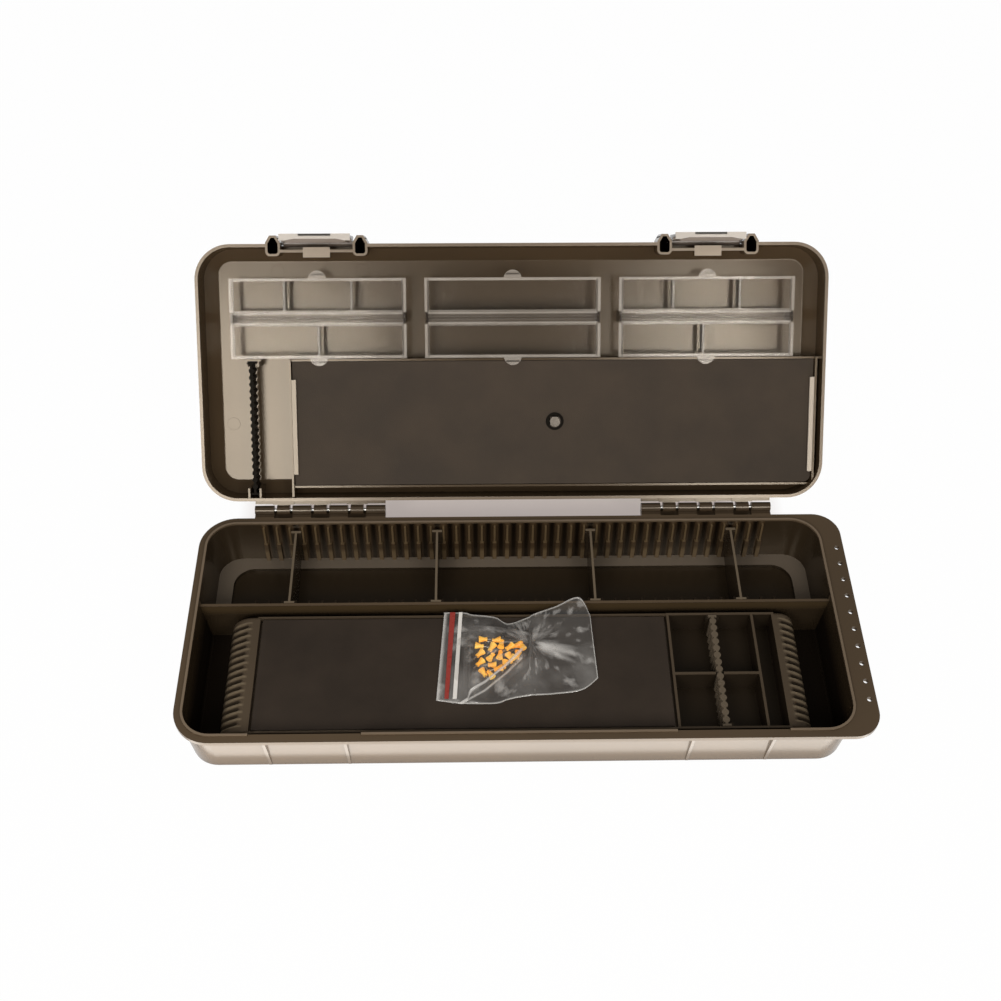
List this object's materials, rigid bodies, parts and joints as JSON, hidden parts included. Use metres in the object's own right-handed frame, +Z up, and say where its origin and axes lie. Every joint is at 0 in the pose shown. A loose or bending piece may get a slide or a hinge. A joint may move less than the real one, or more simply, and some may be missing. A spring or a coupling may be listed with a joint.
{
  "type": "rig box",
  "caption": "Shallow tackle box with a hinged lid, lift-out rig tray, loose dividers and small clear boxes with twin flaps.",
  "frame": {"origin": "middle of the base's underside, on the surface it stands on", "axes": "+X along the box to the end with the row of holes, +Y to the hinges, +Z up; the lid is open, as in the picture"},
  "size_m": [0.3724, 0.27, 0.1623],
  "materials": {
    "olive_plastic": "satin",
    "tray_plastic": "satin",
    "clear_plastic": "gloss",
    "latch_plastic": "gloss",
    "black_plastic": "satin",
    "board_foam": "matte",
    "tray_foam": "matte",
    "steel": "satin",
    "bag_film": "gloss",
    "bag_zip": "satin",
    "orange_plastic": "satin"
  },
  "bodies": {
    "base": {"base_shell": "olive_plastic", "hinge_pin_left": "steel", "hinge_pin_right": "steel"},
    "lid": {"lid_shell": "olive_plastic", "latch_pin_left": "steel", "latch_pin_right": "steel", "rig_board": "board_foam", "board_ring": "black_plastic", "board_stud": "steel"},
    "latch_left": {"latch_left": "latch_plastic"},
    "latch_right": {"latch_right": "latch_plastic"},
    "lid_bead_strip": {"lid_bead_strip": "black_plastic"},
    "rig_tray": {"rig_tray": "tray_plastic"},
    "tray_foam": {"tray_foam": "tray_foam"},
    "tray_bead_divider": {"tray_bead_divider": "tray_plastic"},
    "pin_bag": {"pin_bag": "bag_film", "bag_zip": "bag_zip", "rig_pin_heads": "orange_plastic", "rig_pin_needles": "steel"},
    "divider_1": {"divider_1": "olive_plastic"},
    "divider_2": {"divider_2": "olive_plastic"},
    "divider_3": {"divider_3": "olive_plastic"},
    "divider_4": {"divider_4": "olive_plastic"},
    "mini_box_left": {"mini_box_left": "clear_plastic"},
    "mini_box_left_front_flap": {"mini_box_left_front_flap": "clear_plastic"},
    "mini_box_left_back_flap": {"mini_box_left_back_flap": "clear_plastic"},
    "mini_box_middle": {"mini_box_middle": "clear_plastic"},
    "mini_box_middle_front_flap": {"mini_box_middle_front_flap": "clear_plastic"},
    "mini_box_middle_back_flap": {"mini_box_middle_back_flap": "clear_plastic"},
    "mini_box_right": {"mini_box_right": "clear_plastic"},
    "mini_box_right_front_flap": {"mini_box_right_front_flap": "clear_plastic"},
    "mini_box_right_back_flap": {"mini_box_right_back_flap": "clear_plastic"}
  },
  "joints": [
    {"name": "lid_hinge", "type": "hinge", "parent": "base", "child": "lid", "pos_m": [0, 0.0797, 0.0358], "axis": [1, 0, 0], "range_deg": [0, 131.3]},
    {"name": "latch_left_pivot", "type": "hinge", "parent": "lid", "child": "latch_left", "pos_m": [-0.112, 0.18977, 0.14488], "axis": [1, 0, 0], "range_deg": [-110, 8.5]},
    {"name": "latch_right_pivot", "type": "hinge", "parent": "lid", "child": "latch_right", "pos_m": [0.112, 0.18977, 0.14488], "axis": [1, 0, 0], "range_deg": [-110, 8.5]},
    {"name": "divider_1_lift", "type": "slide", "parent": "base", "child": "divider_1", "axis": [0, 0, -1], "range_m": [-0.03, 0]},
    {"name": "divider_2_lift", "type": "slide", "parent": "base", "child": "divider_2", "axis": [0, 0, -1], "range_m": [-0.03, 0]},
    {"name": "divider_3_lift", "type": "slide", "parent": "base", "child": "divider_3", "axis": [0, 0, -1], "range_m": [-0.03, 0]},
    {"name": "divider_4_lift", "type": "slide", "parent": "base", "child": "divider_4", "axis": [0, 0, -1], "range_m": [-0.03, 0]},
    {"name": "rig_tray_lift", "type": "slide", "parent": "base", "child": "rig_tray", "axis": [0, 0, -1], "range_m": [-0.03, 0]},
    {"name": "tray_foam_lift", "type": "slide", "parent": "rig_tray", "child": "tray_foam", "axis": [0, 0, -1], "range_m": [-0.012, 0]},
    {"name": "tray_bead_divider_lift", "type": "slide", "parent": "rig_tray", "child": "tray_bead_divider", "axis": [0, 0, -1], "range_m": [-0.02, 0]},
    {"name": "pin_bag_lift", "type": "slide", "parent": "tray_foam", "child": "pin_bag", "axis": [0, 0, -1], "range_m": [-0.02, 0]},
    {"name": "lid_bead_strip_lift", "type": "slide", "parent": "lid", "child": "lid_bead_strip", "axis": [0, 0.7513, -0.66], "range_m": [-0.02, 0]},
    {"name": "mini_box_left_lift", "type": "slide", "parent": "lid", "child": "mini_box_left", "axis": [0, 0.7513, -0.66], "range_m": [-0.025, 0]},
    {"name": "mini_box_left_front_flap_hinge", "type": "hinge", "parent": "mini_box_left", "child": "mini_box_left_front_flap", "pos_m": [-0.1124, 0.15704, 0.11853], "axis": [-1, 0, 0], "range_deg": [-88, 0]},
    {"name": "mini_box_left_back_flap_hinge", "type": "hinge", "parent": "mini_box_left", "child": "mini_box_left_back_flap", "pos_m": [-0.1124, 0.15493, 0.11613], "axis": [1, 0, 0], "range_deg": [-88, 0]},
    {"name": "mini_box_middle_lift", "type": "slide", "parent": "lid", "child": "mini_box_middle", "axis": [0, 0.7513, -0.66], "range_m": [-0.025, 0]},
    {"name": "mini_box_middle_front_flap_hinge", "type": "hinge", "parent": "mini_box_middle", "child": "mini_box_middle_front_flap", "pos_m": [0, 0.15704, 0.11853], "axis": [-1, 0, 0], "range_deg": [-88, 0]},
    {"name": "mini_box_middle_back_flap_hinge", "type": "hinge", "parent": "mini_box_middle", "child": "mini_box_middle_back_flap", "pos_m": [0, 0.15493, 0.11613], "axis": [1, 0, 0], "range_deg": [-88, 0]},
    {"name": "mini_box_right_lift", "type": "slide", "parent": "lid", "child": "mini_box_right", "axis": [0, 0.7513, -0.66], "range_m": [-0.025, 0]},
    {"name": "mini_box_right_front_flap_hinge", "type": "hinge", "parent": "mini_box_right", "child": "mini_box_right_front_flap", "pos_m": [0.1124, 0.15704, 0.11853], "axis": [-1, 0, 0], "range_deg": [-88, 0]},
    {"name": "mini_box_right_back_flap_hinge", "type": "hinge", "parent": "mini_box_right", "child": "mini_box_right_back_flap", "pos_m": [0.1124, 0.15493, 0.11613], "axis": [1, 0, 0], "range_deg": [-88, 0]}
  ]
}
